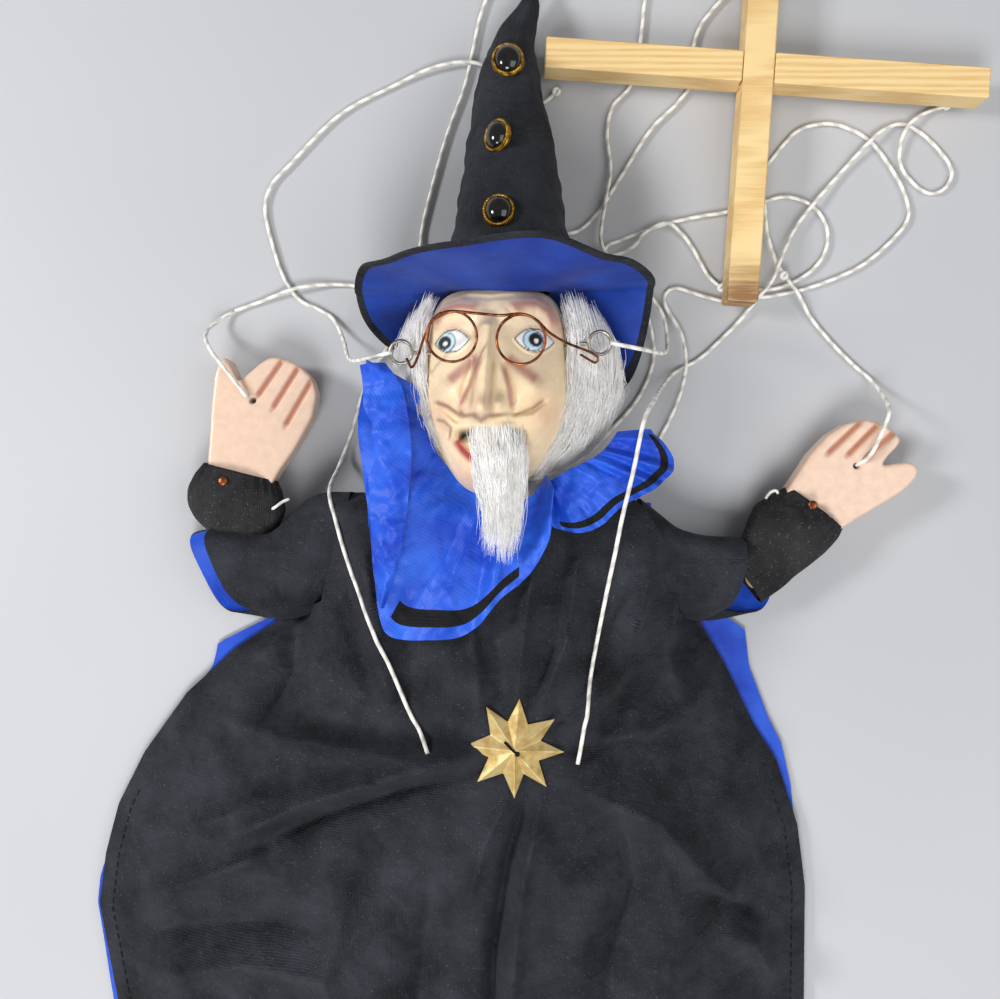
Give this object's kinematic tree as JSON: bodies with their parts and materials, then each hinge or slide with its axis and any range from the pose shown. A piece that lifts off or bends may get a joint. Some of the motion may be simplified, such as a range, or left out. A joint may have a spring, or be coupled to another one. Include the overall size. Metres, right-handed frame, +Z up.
{
  "type": "marionette puppet",
  "caption": "Robed and bearded wizard string puppet lying on its back, with a pointed hat, jointed wooden limbs and a crossed wooden control.",
  "frame": {"origin": "on the surface that the puppet lies on, under the waist and the star brooch", "axes": "+X to the puppet's left hand, which is on the right seen from the front, +Y towards the tip of the hat, +Z up out of the face"},
  "size_m": [0.4126, 0.6758, 0.108],
  "materials": {
    "lime_wood": "plain turned wood",
    "pine": "planed light pine",
    "flesh_paint": "painted cast head",
    "hand_paint": "painted carved wood",
    "black_cotton": "plain woven cotton",
    "blue_satin": "satin lining",
    "grey_fur": "fur",
    "copper_wire": "bent wire",
    "steel_wire": "bright wire",
    "gilt_metal": "stamped and gilt",
    "black_cabochon": "polished",
    "rusty_nail": "rusty",
    "white_cord": "twisted cotton cord",
    "boot_leather": "black"
  },
  "bodies": {
    "torso": {"torso_block": "lime_wood", "shoulder_peg_left": "lime_wood", "shoulder_peg_right": "lime_wood", "neck_eye_lower": "steel_wire", "robe_back": "blue_satin", "robe_bodice": "black_cotton", "skirt_front_left": "black_cotton", "skirt_front_right": "black_cotton", "collar": "blue_satin", "star_brooch": "gilt_metal", "string_hand_left": "white_cord", "string_hand_right": "white_cord", "string_head_left": "white_cord", "string_head_right": "white_cord", "string_knee_left": "white_cord", "string_knee_right": "white_cord", "string_shoulder": "white_cord", "string_back": "white_cord", "string_hat": "white_cord"},
    "head": {"head": "flesh_paint", "neck_eye_upper": "steel_wire", "hair_left": "grey_fur", "hair_right": "grey_fur", "beard": "grey_fur", "temple_eye_left": "steel_wire", "temple_eye_right": "steel_wire", "spectacles": "copper_wire", "hat_cone": "black_cotton", "hat_brim": "blue_satin", "button_bezel_1": "gilt_metal", "button_dome_1": "black_cabochon", "button_bezel_2": "gilt_metal", "button_dome_2": "black_cabochon", "button_bezel_3": "gilt_metal", "button_dome_3": "black_cabochon"},
    "arm_left": {"upper_arm_left": "lime_wood", "sleeve_left": "black_cotton"},
    "arm_right": {"upper_arm_right": "lime_wood", "sleeve_right": "black_cotton"},
    "lower_arm_left": {"forearm_left": "lime_wood", "hand_left": "hand_paint", "cuff_left": "black_cotton", "cuff_tack_left": "copper_wire"},
    "lower_arm_right": {"forearm_right": "lime_wood", "hand_right": "hand_paint", "cuff_right": "black_cotton", "cuff_tack_right": "copper_wire"},
    "leg_left": {"thigh_left": "lime_wood"},
    "leg_right": {"thigh_right": "lime_wood"},
    "lower_leg_left": {"shin_left": "lime_wood", "boot_left": "boot_leather"},
    "lower_leg_right": {"shin_right": "lime_wood", "boot_right": "boot_leather"},
    "control": {"control_main_bar": "pine", "control_cross_bar": "pine", "brad_main_low": "rusty_nail", "brad_main_high": "rusty_nail", "brad_cross_left": "rusty_nail", "brad_cross_right": "rusty_nail"}
  },
  "joints": [
    {"name": "neck_nod", "type": "hinge", "parent": "torso", "child": "head", "pos_m": [-0.009, 0.1128, 0.03], "axis": [1, 0, 0], "range_deg": [0, 17], "deforming": ["beard", "collar"]},
    {"name": "shoulder_left", "type": "hinge", "parent": "torso", "child": "arm_left", "pos_m": [-0.08, 0.095, 0.015], "axis": [-0.0555, 0.9985, 0], "range_deg": [0, 45], "deforming": ["sleeve_left"]},
    {"name": "shoulder_right", "type": "hinge", "parent": "torso", "child": "arm_right", "pos_m": [0.066, 0.098, 0.015], "axis": [-0.3285, -0.9445, 0], "range_deg": [0, 45], "deforming": ["sleeve_right"]},
    {"name": "elbow_left", "type": "hinge", "parent": "arm_left", "child": "lower_arm_left", "pos_m": [-0.134, 0.092, 0.012], "axis": [0.9815, -0.1915, 0], "range_deg": [0, 60], "deforming": ["cuff_left"]},
    {"name": "elbow_right", "type": "hinge", "parent": "arm_right", "child": "lower_arm_right", "pos_m": [0.112, 0.082, 0.012], "axis": [0.7761, -0.6306, 0], "range_deg": [0, 60], "deforming": ["cuff_right"]},
    {"name": "hip_left", "type": "hinge", "parent": "torso", "child": "leg_left", "pos_m": [-0.032, -0.0025, 0.0135], "axis": [-1, 0, 0], "range_deg": [0, 40], "deforming": ["skirt_front_left"]},
    {"name": "hip_right", "type": "hinge", "parent": "torso", "child": "leg_right", "pos_m": [0.016, -0.0025, 0.0135], "axis": [-1, 0, 0], "range_deg": [0, 40], "deforming": ["skirt_front_right"]},
    {"name": "knee_left", "type": "hinge", "parent": "leg_left", "child": "lower_leg_left", "pos_m": [-0.032, -0.0996, 0.0135], "axis": [1, 0, 0], "range_deg": [0, 56]},
    {"name": "knee_right", "type": "hinge", "parent": "leg_right", "child": "lower_leg_right", "pos_m": [0.016, -0.0996, 0.0135], "axis": [1, 0, 0], "range_deg": [0, 56]},
    {"name": "control_lift", "type": "slide", "parent": "torso", "child": "control", "axis": [0, 0, 1], "range_m": [0, 0.12], "deforming": ["string_hand_left", "string_hand_right", "string_head_left", "string_head_right", "string_knee_left", "string_knee_right", "string_shoulder", "string_back", "string_hat"]}
  ],
  "couplings": [
    {"joint": "knee_left", "follows": "hip_left", "ratio": 1.4},
    {"joint": "knee_right", "follows": "hip_right", "ratio": 1.4}
  ]
}
